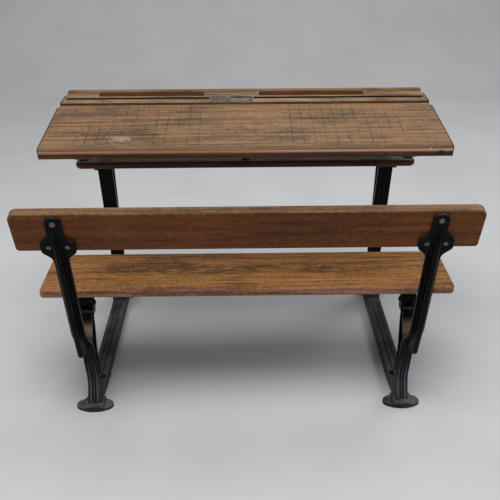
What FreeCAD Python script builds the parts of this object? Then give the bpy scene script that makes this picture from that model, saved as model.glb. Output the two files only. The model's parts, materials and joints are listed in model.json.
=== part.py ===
import FreeCAD, Part
import math
import os

# School desk for two infants: a lifting lid and a fixed back board on two cast
# iron standards, a book shelf under them, and a tip-up bench with a back rail on
# two more standards that are bolted to the floor bars.
# Millimetres. +X to the sitter's right, +Y from the bench to the desk, +Z up.
# Y is counted from the middle of the bench feet until the last step.

# ---- boards ----
lid_width = 914.4
lid_length = 243.5
lid_thickness = 25.4
lid_slope = 6.4
lid_corner = 5.0
lid_nose = 11.0
lid_nose_low = 8.0
lid_notch_front = 9.5
back_board_width = 905.0
back_board_depth = 98.0
back_board_thickness = 28.0
back_board_top = 607.5
back_board_front_y = 411.5
back_board_corner = 12.0
ledge_rise = 5.0
ledge_depth = 17.5
ledge_round = 3.0
lid_step = 3.2
groove_width = 16.0
groove_depth = 12.0
groove_front = 27.0
groove_end_margin = 5.0
groove_plate_gap = 3.0
tray_front = 53.0
tray_length = 266.0
tray_depth = 13.0
tray_inner_gap = 70.0
fittings_offset = -34.0
seat_width = 920.0
seat_depth = 161.0
seat_thickness = 22.0
seat_top = 305.0
seat_back_y = 32.5
seat_round = 7.0
back_rail_width = 893.0
back_rail_height = 92.0
back_rail_thickness = 22.0
back_rail_foot_y = -89.0
back_rail_foot_z = 470.5
back_rail_lean = 14.0
back_rail_corner = 16.0
back_rail_low_corner = 7.0
back_rail_round = 4.0
shelf_width = 850.0
shelf_depth = 152.0
shelf_thickness = 18.0
shelf_top = 473.0
shelf_front_y = 353.0
shelf_corner = 16.0
shelf_round = 7.5
shelf_rim = 10.0
shelf_sink = 4.0

# ---- castings ----
frame_spacing = 724.0
flange = 6.0
rib = 5.0
arm_width = 29.0
leg_width = 30.0
column_width = 37.0
web_thickness = 8.0
fork_web = 10.0
arm_rib_depth = 19.0
arm_rib_width = 12.0
arm_rib_round = 5.0
rib_start = 31.0
rib_lobe_radius = 18.0
reed_width = 3.0
reed_depth = 2.2
reed_offset = 2.7
bar_reed_offset = 6.5
foot_length = 86.0
foot_width = 45.0
foot_end_radius = 15.0
foot_thickness = 8.0
pad_length = 46.0
pad_width = 42.0
pad_rise = 6.0
bar_width = 38.0
bar_low = 6.5
bar_top = 32.0
bar_wall = 5.0
bar_seam_y = 70.0
bar_end_y = 502.0
bar_notch_radius = 6.5
bar_notch_reach = 9.5
bar_notch_depth = 15.0
tongue_length = 52.0
desk_foot_y = 485.0
spade_top_drop = 3.5
spade_radius = 16.0
spade_neck = 50.0
spade_ear_drop = 74.0
spade_ear_reach = 34.0
ear_screw_reach = 18.0
spade_length = 116.0

# ---- hinges, fittings and screws ----
seat_axis_y = 45.0
seat_axis_drop = 19.0
seat_pin_radius = 4.0
knuckle_radius = 9.0
knuckle_length = 16.0
lug_thickness = 9.0
lug_radius = 11.0
shoulder_z = 247.0
tail_length = 54.0
seat_plate = 5.0
seat_plate_length = 118.0
lid_pin_radius = 3.0
lid_pin_length = 24.0
pivot_plate = 4.0
pivot_plate_half_height = 8.0
pivot_plate_length = 92.0
pivot_knob_radius = 7.0
ink_plate_length = 104.0
ink_plate_width = 49.0
ink_front = 1.2
ink_slide_travel = 43.0
ink_hole_radius = 17.0
ink_pot_depth = 38.0
sheet = 1.6
running_gap = 0.05
seat_gap = 0.3
swing_gap = 0.5
screw_head = 4.6
screw_shank = 2.1
head_depth = 2.6
ink_screw_head = 2.4
ink_screw_shank = 1.2
ink_screw_length = 15.0
pin_head_radius = 6.2
bolt_head_radius = 8.0
nut_width = 13.0
nut_height = 6.5

# ---- centre bracket ----
bracket_width = 19.0
bracket_plate = 4.0
bracket_front = 13.0
bracket_leaf_margin = 17.5
bracket_head = 32.5
bracket_head_back = 76.0

# ---- derived ----
frame_x = frame_spacing / 2.0
slope = math.radians(lid_slope)
lean = math.radians(back_rail_lean)
lid_axis_y = back_board_front_y - swing_gap - lid_thickness / 2.0
lid_axis_z = back_board_top - lid_step - lid_thickness / 2.0
back_board_under = back_board_top - back_board_thickness
seat_under = seat_top - seat_thickness
seat_axis_z = seat_under - seat_axis_drop
shelf_under = shelf_top - shelf_thickness
tongue_top = bar_top - flange
ink_front_y = back_board_front_y + ink_front
ink_left_x = fittings_offset - ink_plate_length / 2.0
ink_seam_x = fittings_offset - 2.0
ink_hole_x = ink_seam_x + 4.0 + ink_hole_radius + sheet * 2.0
ink_cavity = 3.0 * sheet + seat_gap * 2.0
arm_low_z = shelf_top + (back_board_under - shelf_top) * 0.66
arm_sweep = (arm_low_z - shelf_top) * 0.78
bracket_front_y = shelf_front_y + bracket_front
bracket_leaf_back_y = shelf_front_y + shelf_depth - bracket_leaf_margin
bracket_head_back_y = back_board_front_y + bracket_head_back
bracket_head_y = bracket_head_back_y - bracket_head


def at(x, y, z):
    return FreeCAD.Vector(x, y, z)


def side(y, z):
    return FreeCAD.Vector(0.0, y, z)


def rounded(points, radii):
    """A closed wire through flat points, each corner an arc of its radius."""
    count = len(points)
    starts, ends, mids = [], [], []
    for i in range(count):
        here = points[i]
        back = (points[i - 1] - here).normalize()
        ahead = (points[(i + 1) % count] - here).normalize()
        turn = math.acos(max(-1.0, min(1.0, back.dot(ahead))))
        if radii[i] < 0.01 or turn > math.pi - 0.002:
            starts.append(here)
            ends.append(here)
            mids.append(None)
            continue
        run = radii[i] / math.tan(turn / 2.0)
        reach = radii[i] / math.sin(turn / 2.0) - radii[i]
        starts.append(here + back * run)
        ends.append(here + ahead * run)
        mids.append(here + (back + ahead).normalize() * reach)
    edges = []
    for i in range(count):
        if mids[i] is not None:
            edges.append(Part.Arc(starts[i], mids[i], ends[i]).toShape())
        following = starts[(i + 1) % count]
        if (following - ends[i]).Length > 0.001:
            edges.append(Part.LineSegment(ends[i], following).toShape())
    return Part.Wire(edges)


def plate(points, radii, along):
    """A flat plate on the outline, as thick as the vector along."""
    if not isinstance(radii, (list, tuple)):
        radii = [radii] * len(points)
    return Part.Face(rounded(points, radii)).extrude(along)


def side_plate(points, radii, width, x=0.0):
    """A plate in the side view, spread evenly about x."""
    solid = plate(points, radii, at(width, 0, 0))
    solid.translate(at(x - width / 2.0, 0, 0))
    return solid


def shifted(points, gap):
    """The side view path moved to its left by gap."""
    moved = []
    last = len(points) - 1
    for i, point in enumerate(points):
        before = points[i] - points[i - 1] if i > 0 else points[1] - points[0]
        after = points[i + 1] - points[i] if i < last else before
        before.normalize()
        after.normalize()
        left = side(-before.z - after.z, before.y + after.y).normalize()
        stretch = left.dot(side(-after.z, after.y))
        moved.append(point + left * (gap / stretch))
    return moved


def shifted_radii(points, radii, gap):
    """Corner radii of the path moved to its left by gap."""
    moved = list(radii)
    for i in range(1, len(points) - 1):
        before = points[i] - points[i - 1]
        after = points[i + 1] - points[i]
        left_turn = before.y * after.z - before.z * after.y > 0
        moved[i] = radii[i] - gap if left_turn else radii[i] + gap
    return moved


def strip(points, radii, thickness, width, x=0.0):
    """A flange that follows the side view path, thickened to its left."""
    other = shifted(points, thickness)
    other_radii = shifted_radii(points, radii, thickness)
    outline = list(points) + other[::-1]
    return side_plate(outline, list(radii) + other_radii[::-1], width, x)


def box(x0, x1, y0, y1, z0, z1):
    return Part.makeBox(x1 - x0, y1 - y0, z1 - z0, at(x0, y0, z0))


def rod(radius, x0, x1, y, z):
    return Part.makeCylinder(radius, x1 - x0, at(x0, y, z), at(1, 0, 0))


def joined(shapes):
    solid = shapes[0].fuse(shapes[1:])
    return solid.removeSplitter()


def screw(head, inward, length):
    """A countersunk screw whose head lies flush at the point head."""
    cone = Part.makeCone(screw_head, screw_shank, head_depth, head, inward)
    tip = head + inward * head_depth
    shank = Part.makeCylinder(screw_shank, length - head_depth, tip, inward)
    return cone.fuse(shank).removeSplitter()


def compound(shapes):
    return Part.makeCompound(shapes)


def leaned(x, down, back):
    """A point on the back rail: down from the spade's top, back from its face."""
    top_z = back_rail_foot_z + back_rail_height * math.cos(lean) - spade_top_drop
    top_y = back_rail_foot_y - (top_z - back_rail_foot_z) * math.tan(lean)
    y = top_y + down * math.sin(lean) - back * math.cos(lean)
    z = top_z - down * math.cos(lean) - back * math.sin(lean)
    return at(x, y, z)


# ---- paths of the bench standard in the side view ----
strip_start = leaned(0.0, spade_length * 0.8, flange)
arm_bend = leaned(0.0, spade_length, flange)
elbow = side(-52.0, 238.0)
leg_top = side(1.0, 174.0)
leg_flare = side(19.0, 64.0)
leg_foot = side(-10.0, foot_thickness)
rear_path = [strip_start, arm_bend, elbow, leg_top, leg_flare, leg_foot]
rear_radii = [0.0, 60.0, 60.0, 60.0, 55.0, 0.0]
bearing_y = seat_axis_y + 7.0
shoulder_y = bearing_y - 22.0
fork_path = [side(-45.5, 246.0), side(4.0, 184.0), side(shoulder_y - 5.0, 214.0),
             side(shoulder_y, shoulder_z)]
fork_radii = [0.0, 8.0, 16.0, 0.0]
front_path = [side(bearing_y, shoulder_z), side(bearing_y, 200.0), side(39.0, 135.0),
              side(51.0, 56.0), side(18.0, 48.0)]
front_radii = [0.0, 70.0, 90.0, 10.0, 0.0]


def oval(y, length, width, end_radius):
    """A wire of two flat arcs and two end arcs that meet smoothly."""
    run = length / 2.0 - end_radius
    half = width / 2.0
    drop = (run * run + half * half - end_radius ** 2) / (2.0 * (half - end_radius)) - half
    reach = math.hypot(run, drop)
    meet_x = run + end_radius * run / reach
    meet_y = end_radius * drop / reach
    tip = length / 2.0
    points = [at(meet_x, y - meet_y, 0), at(tip, y, 0), at(meet_x, y + meet_y, 0),
              at(0, y + half, 0), at(-meet_x, y + meet_y, 0), at(-tip, y, 0),
              at(-meet_x, y - meet_y, 0), at(0, y - half, 0)]
    return Part.Wire([Part.Arc(points[i], points[i + 1], points[(i + 2) % 8]).toShape()
                      for i in (0, 2, 4, 6)])


def foot_plate(y):
    """The oval foot with its raised pad."""
    outline = oval(y, foot_length, foot_width, foot_end_radius)
    sole = Part.Face(outline).extrude(at(0, 0, foot_thickness))
    sole = sole.makeFillet(3.0, [e for e in sole.Edges
                                 if e.BoundBox.ZMin > foot_thickness - 0.1])
    half_x, half_y = pad_length / 2.0, pad_width / 2.0
    low = foot_thickness * 0.25
    pad = plate([at(-half_x, y - half_y, low), at(half_x, y - half_y, low),
                 at(half_x, y + half_y, low), at(-half_x, y + half_y, low)],
                4.0, at(0, 0, foot_thickness + pad_rise - low))
    top = [e for e in pad.Edges if e.CenterOfMass.z > foot_thickness + pad_rise - 0.1]
    return sole.fuse(pad.makeChamfer(2.5, top))


def spade():
    """The plate with two ears that carries the back rail."""
    neck = arm_width / 2.0
    lobe = spade_ear_reach - neck
    ear_top = spade_ear_drop - lobe * 0.55
    ear_low = spade_ear_drop + lobe * 0.65
    right = [(spade_radius, 0.0, spade_radius - 0.6), (neck + 0.5, spade_neck, 14.0),
             (spade_ear_reach, ear_top, 10.0), (spade_ear_reach, ear_low, 12.0),
             (neck, ear_low + lobe * 0.85, 22.0), (neck, spade_length, 0.0)]
    points = [leaned(x, down, 0.0) for x, down, r in right]
    points += [leaned(-x, down, 0.0) for x, down, r in right[::-1]]
    radii = [r for x, down, r in right]
    radii += radii[::-1]
    return plate(points, radii, leaned(0, 0, flange) - leaned(0, 0, 0))


def spade_screw_heads(x):
    """Head points of the three screws in the spade."""
    places = [(0.0, 14.5), (-ear_screw_reach, spade_ear_drop),
              (ear_screw_reach, spade_ear_drop)]
    return [leaned(x + reach, down, flange) for reach, down in places]


def back_rail_screws(x):
    inward = (leaned(0, 0, 0) - leaned(0, 0, 1)).normalize()
    length = flange + back_rail_thickness * 0.75
    return [screw(head, inward, length) for head in spade_screw_heads(x)]


def arm_rib():
    """The rib behind the back arm, with the rounded lobe at its foot."""
    inside = flange / 2.0
    full = flange + arm_rib_depth
    path = [leaned(0, rib_start, inside), leaned(0, rib_start * 2.0, flange + arm_rib_depth * 0.6),
            leaned(0, spade_length, full), side(elbow.y - 33.0, elbow.z + 50.0),
            side(elbow.y - 10.0, elbow.z - 50.0), side(leg_top.y + 3.0, leg_top.z - 12.0),
            side(leg_top.y + 3.0, leg_top.z), side(elbow.y + 3.0, elbow.z),
            leaned(0, spade_length, inside)]
    radii = [0.0, 60.0, 200.0, 200.0, rib_lobe_radius, 0.0, 0.0, 0.0, 0.0]
    blank = side_plate(path, radii, arm_rib_width)
    buried = Part.makePolygon(path[5:] + path[:1])
    outer = []
    for edge in blank.Edges:
        middle = edge.valueAt((edge.FirstParameter + edge.LastParameter) / 2.0)
        flat = edge.BoundBox.XLength < 0.01
        if flat and Part.Vertex(side(middle.y, middle.z)).distToShape(buried)[0] > 1.0:
            outer.append(edge)
    return blank.makeFillet(arm_rib_round, outer)


def fork():
    """The web between the back arm, the seat arm, the leg and the toe."""
    start = elbow + (arm_bend - elbow) * 0.1
    spine = [start, elbow, leg_top, leg_flare, leg_foot]
    spine_r = [0.0] + rear_radii[2:]
    rear = shifted(spine, flange / 2.0)
    rear_r = shifted_radii(spine, spine_r, flange / 2.0)
    front = shifted(front_path, -rib / 2.0)[:-1]
    front_r = shifted_radii(front_path, front_radii, -rib / 2.0)[:-1]
    inner = shifted(fork_path, -rib / 2.0)
    inner_r = shifted_radii(fork_path, fork_radii, -rib / 2.0)
    front[-1] = side(front_path[-2].y - 4.0, front_path[-2].z - 4.0)
    front_r[-1] = 0.0
    base = [side(front_path[-2].y - 6.0, foot_thickness)]
    outline = rear + base + front[::-1] + inner[::-1]
    radii = rear_r + [0.0] + front_r[::-1] + inner_r[::-1]
    return side_plate(outline, radii, fork_web)


def toe():
    """The wedge from the foot to the end of the floor bar, with its tongue."""
    profile = [side(0.0, foot_thickness), side(bar_seam_y, foot_thickness),
               side(bar_seam_y, bar_top - 1.5), side(bar_seam_y * 0.6, bar_top - 5.0),
               side(4.0, foot_thickness + pad_rise)]
    wedge = side_plate(profile, [0.0, 0.0, 0.0, 30.0, 0.0], foot_length)
    half = bar_width / 2.0
    narrow = leg_width / 2.0
    plan = plate([at(-narrow, 0, 0), at(narrow, 0, 0), at(half, bar_seam_y, 0),
                  at(-half, bar_seam_y, 0)], 0.0, at(0, 0, bar_top))
    tongue_half = half - bar_wall - seat_gap
    tongue = box(-tongue_half, tongue_half, bar_seam_y - 20.0,
                 bar_seam_y + tongue_length, foot_thickness + 2.0, tongue_top)
    body = wedge.common(plan).fuse(tongue)
    for notch in bar_notches():
        body = body.cut(notch)
    return body


def bar_notches():
    """Two round holes on the seam between the toe and the floor bar."""
    low = bar_top - bar_notch_depth
    return [Part.makeCylinder(bar_notch_radius, bar_notch_depth + 1.0,
                              at(end * bar_notch_reach, bar_seam_y + 1.0, low))
            for end in (-1, 1)]


def lugs():
    """Two ears on the seat arm's shoulder that hold the hinge pin."""
    outline = [side(seat_axis_y - lug_radius, shoulder_z - 8.0),
               side(bearing_y, shoulder_z - 8.0),
               side(seat_axis_y + lug_radius, shoulder_z),
               side(seat_axis_y + lug_radius, seat_axis_z + lug_radius),
               side(seat_axis_y - lug_radius, seat_axis_z + lug_radius)]
    offset = knuckle_length / 2.0 + swing_gap + lug_thickness / 2.0
    radii = [0.0, 0.0, 0.0, lug_radius - 0.05, lug_radius - 0.05]
    pair = [side_plate(outline, radii, lug_thickness, s * offset) for s in (-1, 1)]
    half = offset + lug_thickness / 2.0
    shoulder = box(-half, half, shoulder_y, bearing_y, shoulder_z - 8.0, shoulder_z)
    return pair + [shoulder]


def toe_bolt_y():
    return bar_seam_y + tongue_length * 0.55


def bolt_z():
    return (foot_thickness + tongue_top) / 2.0 + 1.0


def seat_standard(x):
    """The bench casting: foot, leg, toe, seat arm and back arm."""
    shapes = [strip(rear_path, rear_radii, flange, arm_width), spade(), arm_rib(), fork(),
              strip(fork_path, fork_radii, -rib, arm_width - 5.0),
              strip(front_path, front_radii, -rib, leg_width - 6.0),
              foot_plate(0.0), toe()] + lugs()
    body = joined(shapes)
    leg = [leg_top + (leg_flare - leg_top) * 0.14, leg_flare,
           leg_foot + (leg_flare - leg_foot) * 0.12]
    for reed_x in (-reed_offset, reed_offset):
        body = body.cut(strip(leg, [0.0, rear_radii[4], 0.0], reed_depth, reed_width, reed_x))
    body = body.cut(rod(seat_pin_radius + running_gap, -60, 60, seat_axis_y, seat_axis_z))
    body = body.cut(rod(seat_pin_radius + 0.5, -60, 60, toe_bolt_y(), bolt_z()))
    for hole in back_rail_screws(0.0):
        body = body.cut(hole)
    body.translate(at(x, 0, 0))
    return body


# ---- paths of the desk standard in the side view ----
column_top = side(402.0, shelf_under - flange)
column_knee = side(447.0, 150.0)
column_foot = side(400.0, bar_top - 4.0)
shelf_arm_front = shelf_front_y + 11.0
shelf_arm_back = shelf_front_y + shelf_depth - 3.0
column_path = [side(shelf_arm_front, shelf_under - flange), column_top, column_knee,
               column_foot]
column_radii = [0.0, 22.0, 95.0, 0.0]
spine_path = [side(478.0, shelf_under - flange / 2.0), side(488.0, 150.0),
              side(486.0, bar_top - 2.0)]
spine_radii = [0.0, 160.0, 0.0]
arm_tip_y = lid_axis_y - 212.0
board_end_y = back_board_front_y + back_board_depth - 8.0


def lid_under(y):
    """Height of the closed lid's underside at y."""
    drop = (lid_axis_y - y) * math.tan(slope)
    return lid_axis_z - lid_thickness / 2.0 / math.cos(slope) - drop


def top_flange():
    """The flange under the lid and the back board."""
    kink = back_board_front_y - 1.0
    tip = side(arm_tip_y, lid_under(arm_tip_y) - seat_gap)
    bend = side(kink, min(lid_under(kink) - seat_gap, back_board_under))
    rest = side(back_board_front_y + 1.0, back_board_under)
    end = side(board_end_y, back_board_under)
    low = [point + side(0, -flange) for point in (end, rest, bend, tip)]
    return side_plate([tip, bend, rest, end] + low, [0.0] * 8, column_width)


def upper_web():
    """The web from the shelf arm through the shelf to the top flange."""
    inset = flange / 2.0
    tip_z = lid_under(arm_tip_y) - seat_gap - inset
    top_z = back_board_under - inset
    web_front = column_top.y + 6.0
    waist_y = shelf_arm_back - column_width * 0.6
    outline = [side(web_front, shelf_under - inset), side(web_front, arm_low_z),
               side(arm_tip_y + 4.0, tip_z - 8.0), side(arm_tip_y, tip_z),
               side(back_board_front_y, top_z), side(board_end_y - 4.0, top_z),
               side(board_end_y - 6.0, top_z - 8.0), side(waist_y + 4.0, arm_low_z),
               side(waist_y, shelf_under - inset)]
    radii = [0.0, arm_sweep, 0.0, 0.0, 0.0, 0.0, 0.0, 40.0, 0.0]
    return side_plate(outline, radii, web_thickness)


def arm_edge():
    """The bead along the lower edge of the lid arm."""
    web_front = column_top.y + 6.0
    tip_z = lid_under(arm_tip_y) - seat_gap - flange / 2.0
    path = [side(web_front, shelf_top + 4.0), side(web_front, arm_low_z),
            side(arm_tip_y + 4.0, tip_z - 8.0)]
    return strip(path, [0.0, arm_sweep, 0.0], -rib, column_width * 0.5)


def column_web():
    """The web of the column between its reeded face and its spine."""
    face = shifted(column_path, flange / 2.0)
    face_r = shifted_radii(column_path, column_radii, flange / 2.0)
    spine = shifted(spine_path, -rib / 2.0)
    spine_r = shifted_radii(spine_path, spine_radii, -rib / 2.0)
    outline = [side(column_top.y, shelf_under - flange / 2.0)] + face[1:] + spine[::-1]
    radii = [0.0] + face_r[1:] + spine_r[::-1]
    return side_plate(outline, radii, web_thickness)


def floor_bar():
    """The reeded channel along the floor, open below, notched at its end."""
    half = bar_width / 2.0
    block = box(-half, half, bar_seam_y + seat_gap, bar_end_y, bar_low, bar_top)
    crown = [e for e in block.Edges if e.CenterOfMass.z > bar_top - 0.1
             and e.Length > foot_length]
    block = block.makeFillet(2.5, crown)
    hollow = box(bar_wall - half, half - bar_wall, bar_seam_y - 1.0,
                 bar_end_y - bar_wall, 0.0, bar_top - flange)
    body = block.cut(hollow)
    for notch in bar_notches():
        body = body.cut(notch)
    return body


def desk_standard(x):
    """The desk casting: top arms, shelf arm, column, floor bar and rear foot."""
    shelf_arm = box(-column_width / 2.0, column_width / 2.0, column_top.y, shelf_arm_back,
                    shelf_under - flange, shelf_under)
    body = joined([strip(column_path, column_radii, flange, column_width), column_web(),
                   strip(spine_path, spine_radii, -rib, column_width * 0.55), shelf_arm,
                   top_flange(), upper_web(), arm_edge(), floor_bar(),
                   foot_plate(desk_foot_y)])
    shank = [column_top + (column_knee - column_top) * 0.10, column_knee,
             column_foot + (column_knee - column_foot) * 0.10]
    near = column_foot.y - 4.0
    groove_z = bar_top - reed_depth
    for reed_x in (-bar_reed_offset, bar_reed_offset):
        cutter = strip(shank, [0.0, column_radii[2], 0.0], reed_depth, reed_width, reed_x)
        body = body.cut(cutter)
        body = body.cut(box(reed_x - reed_width / 2.0, reed_x + reed_width / 2.0,
                            bar_seam_y - 1.0, near, groove_z, bar_top + 1.0))
    body = body.cut(rod(seat_pin_radius + 0.5, -60, 60, toe_bolt_y(), bolt_z()))
    for hole in top_screws(0.0) + shelf_screws(0.0):
        body = body.cut(hole)
    body.translate(at(x, 0, 0))
    return body


def top_screws(x):
    """Screws up through the top flange into the back board."""
    length = flange + back_board_thickness * 0.38
    low = back_board_under - flange
    reach = column_width * 0.31
    places = [(s * reach, back_board_front_y + y) for s in (-1, 1)
              for y in (14.0, back_board_depth - 20.0)]
    return [screw(at(x + dx, y, low), at(0, 0, 1), length) for dx, y in places]


def shelf_screws(x):
    """Screws up through the shelf arm into the shelf."""
    length = flange + (shelf_thickness - shelf_sink) * 0.7
    reach = column_width * 0.31
    places = [(s * reach, y) for s in (-1, 1)
              for y in (shelf_arm_front + 9.0, shelf_arm_back - 10.0)]
    low = shelf_under - flange
    return [screw(at(x + dx, y, low), at(0, 0, 1), length) for dx, y in places]


def board(x0, x1, y0, y1, z0, z1, top_round, low_round, corners):
    """A board with rounded arrises; corners are its four radii in plan."""
    plan = [at(x0, y0, z0), at(x1, y0, z0), at(x1, y1, z0), at(x0, y1, z0)]
    blank = plate(plan, corners, at(0, 0, z1 - z0))
    upper = [e for e in blank.Edges if e.BoundBox.ZMin > z1 - 0.01]
    blank = blank.makeFillet(top_round, upper)
    lower = [e for e in blank.Edges if e.BoundBox.ZMax < z0 + 0.01]
    return blank.makeFillet(low_round, lower)


def lid_board():
    """The sloping lid: nosed front edge, half-round back edge on the pivot line."""
    half = lid_thickness / 2.0
    front = half - lid_length
    profile = [side(front, -half), side(half, -half), side(half, half), side(front, half)]
    blank = side_plate(profile, [lid_nose_low, half - 0.01, half - 0.01, lid_nose], lid_width)
    side_x = lid_width / 2.0
    plan = [at(-side_x, front, -half), at(side_x, front, -half), at(side_x, half, -half),
            at(-side_x, half, -half)]
    blank = blank.common(plate(plan, [lid_corner, lid_corner, 0.0, 0.0],
                               at(0, 0, lid_thickness)))
    inner = back_board_width / 2.0 - seat_gap
    for end in (-1, 1):
        x0, x1 = sorted((end * inner, end * (side_x + 1.0)))
        blank = blank.cut(box(x0, x1, -lid_notch_front, half + 1.0,
                              -half - 1.0, half + 1.0))
        x0, x1 = sorted((end * (inner - lid_pin_length - 1.0), end * (inner + 1.0)))
        blank = blank.cut(rod(lid_pin_radius + running_gap, x0, x1, 0.0, 0.0))
    blank.rotate(at(0, 0, 0), at(1, 0, 0), lid_slope)
    blank.translate(at(0, lid_axis_y, lid_axis_z))
    return blank


def back_board():
    """The fixed board: ledge, pen trays, slate grooves and the inkwell recess."""
    half = back_board_width / 2.0
    y0 = back_board_front_y
    y1 = y0 + back_board_depth
    top = back_board_top
    profile = [side(y0, back_board_under), side(y1, back_board_under),
               side(y1, top + ledge_rise), side(y1 - ledge_depth, top + ledge_rise),
               side(y1 - ledge_depth, top), side(y0, top)]
    radii = [2.0, 2.0, ledge_round, ledge_round, ledge_round, 1.0]
    blank = side_plate(profile, radii, back_board_width)
    plan = [at(-half, y0, back_board_under), at(half, y0, back_board_under),
            at(half, y1, back_board_under), at(-half, y1, back_board_under)]
    blank = blank.common(plate(plan, [1.0, 1.0, back_board_corner, back_board_corner],
                               at(0, 0, back_board_thickness + ledge_rise)))
    groove_y = y0 + groove_front
    ink_right_x = ink_left_x + ink_plate_length
    spans = [(groove_end_margin - half, ink_left_x - groove_plate_gap),
             (ink_right_x + groove_plate_gap, half - groove_end_margin)]
    for x0, x1 in spans:
        blank = blank.cut(box(x0, x1, groove_y, groove_y + groove_width,
                              top - groove_depth, top + 1.0))
    tray_y0 = y0 + tray_front
    tray_y1 = y1 - ledge_depth
    for end in (-1, 1):
        near = fittings_offset + end * tray_inner_gap
        x0, x1 = sorted((near, near + end * tray_length))
        hollow = plate([at(x0, tray_y0, top - tray_depth), at(x1, tray_y0, top - tray_depth),
                        at(x1, tray_y1, top - tray_depth), at(x0, tray_y1, top - tray_depth)],
                       3.0, at(0, 0, tray_depth + ledge_rise * 0.5))
        blank = blank.cut(hollow)
    blank = blank.cut(box(ink_left_x, ink_right_x, ink_front_y,
                          ink_front_y + ink_plate_width, top - ink_cavity, top + 1.0))
    hole = Part.makeCylinder(ink_hole_radius, back_board_thickness + 2.0,
                             at(ink_hole_x, ink_centre_y(), back_board_under - 1.0))
    blank = blank.cut(hole)
    cutters = ink_screws() + centre_top_screws()
    for end in (-1, 1):
        cutters += top_screws(end * frame_x) + pivot_screws(end)
    for cutter in cutters:
        blank = blank.cut(cutter)
    return blank


def ink_centre_y():
    return ink_front_y + ink_plate_width * 0.44


def ink_housing():
    """The steel housing let into the back board, with a cover over its left half."""
    x0 = ink_left_x
    x1 = x0 + ink_plate_length
    y0 = ink_front_y
    y1 = y0 + ink_plate_width
    top = back_board_top
    low = top - ink_cavity
    block = box(x0, x1, y0, y1, low, top)
    cavity = box(x0 + 2.0 * sheet, x1 - sheet * 2.0, slide_front_y() - seat_gap,
                 slide_back_y() + seat_gap, low + sheet, top - sheet)
    mouth = box(ink_seam_x, x1 - sheet * 2.0, slide_front_y() + sheet,
                slide_back_y() + 3.0, top - sheet - 1.0, top + 1.0)
    trench = box(ink_seam_x, x1 - sheet * 2.0, slide_back_y() - 1.0,
                 slide_back_y() + 3.0, low + sheet, top + 1.0)
    throat = Part.makeCylinder(ink_hole_radius - 2.0, ink_cavity,
                               at(ink_hole_x, ink_centre_y(), low - 1.0))
    body = block.cut(cavity).cut(mouth).cut(trench).cut(throat)
    for hole in ink_screws():
        body = body.cut(hole)
    return body


def slide_front_y():
    return ink_front_y + 3.0 * sheet


def slide_back_y():
    return ink_front_y + ink_plate_width - 6.0 * sheet


def ink_slide():
    """The sliding cover of the inkwell, with a thumb ridge at its end."""
    x0 = ink_seam_x - 1.5
    x1 = ink_left_x + ink_plate_length - sheet * 2.0 - seat_gap
    low = back_board_top - ink_cavity + sheet + seat_gap
    leaf = box(x0, x1, slide_front_y(), slide_back_y(), low, low + sheet)
    ridge = box(x1 - 5.0, x1 - 2.0, slide_front_y() + 6.0, slide_back_y() - 6.0,
                low, back_board_top)
    return leaf.fuse(ridge).removeSplitter()


def ink_screws():
    """Three small screws along the housing's rear edge."""
    places = [(ink_left_x + ink_plate_length * share, ink_front_y + ink_plate_width - inset)
              for share, inset in ((0.12, 4.6), (0.44, 4.6), (0.80, 2.9))]
    found = []
    for x, y in places:
        head = at(x, y, back_board_top)
        depth = ink_screw_head - ink_screw_shank
        cone = Part.makeCone(ink_screw_head, ink_screw_shank, depth, head, at(0, 0, -1))
        shank = Part.makeCylinder(ink_screw_shank, ink_screw_length - depth,
                                  head - at(0, 0, depth), at(0, 0, -1))
        found.append(cone.fuse(shank).removeSplitter())
    return found


def ink_pot():
    """The glazed pot that hangs by its rim under the housing."""
    rim_top = back_board_top - ink_cavity
    outer = ink_hole_radius - seat_gap
    centre = at(ink_hole_x, ink_centre_y(), 0.0)
    shell = [at(0.0, 0, rim_top - ink_pot_depth), at(outer * 0.72, 0, rim_top - ink_pot_depth),
             at(outer * 0.86, 0, rim_top - 12.0), at(outer, 0, rim_top - 6.0),
             at(outer, 0, rim_top), at(outer - 4.5, 0, rim_top),
             at(outer - 6.0, 0, rim_top - 8.0),
             at(outer * 0.72 - 4.0, 0, rim_top - ink_pot_depth + 4.0),
             at(0.0, 0, rim_top - ink_pot_depth + 4.0)]
    face = Part.Face(Part.makePolygon(shell + [shell[0]]))
    pot = face.revolve(at(0, 0, 0), at(0, 0, 1), 360)
    pot.translate(centre)
    return pot


def lid_pivot(end):
    """The strap on the back board's end, forged with the lid's pivot pin."""
    x0 = end * back_board_width / 2.0
    half = pivot_plate_half_height
    y0 = lid_axis_y - half
    y1 = y0 + pivot_plate_length
    low = lid_axis_z - half
    high = back_board_top - 1.0
    points = [at(x0, y0, low), at(x0, y1, low), at(x0, y1, high),
              at(x0, back_board_front_y + 6.0, high),
              at(x0, back_board_front_y + 2.0, lid_axis_z + half), at(x0, y0, lid_axis_z + half)]
    radii = [half - 0.05, 3.0, 3.0, 3.0, 2.0, half - 0.05]
    strap = plate(points, radii, at(end * pivot_plate, 0, 0))
    tip = x0 - end * lid_pin_length
    face = x0 + end * pivot_plate
    a, b = sorted((tip, face))
    pin = rod(lid_pin_radius, a, b, lid_axis_y, lid_axis_z)
    outward = at(end, 0, 0)
    neck = pivot_knob_radius - 0.6
    collar = Part.makeCone(pivot_knob_radius, neck, 2.5, at(face, lid_axis_y, lid_axis_z),
                           outward)
    dome = Part.makeCone(neck, neck - 3.0, 2.8, at(face + end * 2.5, lid_axis_y, lid_axis_z),
                         outward)
    body = joined([strap, pin, collar, dome])
    for hole in pivot_screws(end):
        body = body.cut(hole)
    return body


def pivot_screws(end):
    """Three screws through the strap into the back board's end."""
    x = end * (back_board_width / 2.0 + pivot_plate)
    first = back_board_front_y + 8.0
    pitch = (pivot_plate_length - 34.0) / 2.0
    return [screw(at(x, first + pitch * i, lid_axis_z + 1.0), at(-end, 0, 0), 20.0)
            for i in range(3)]


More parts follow.
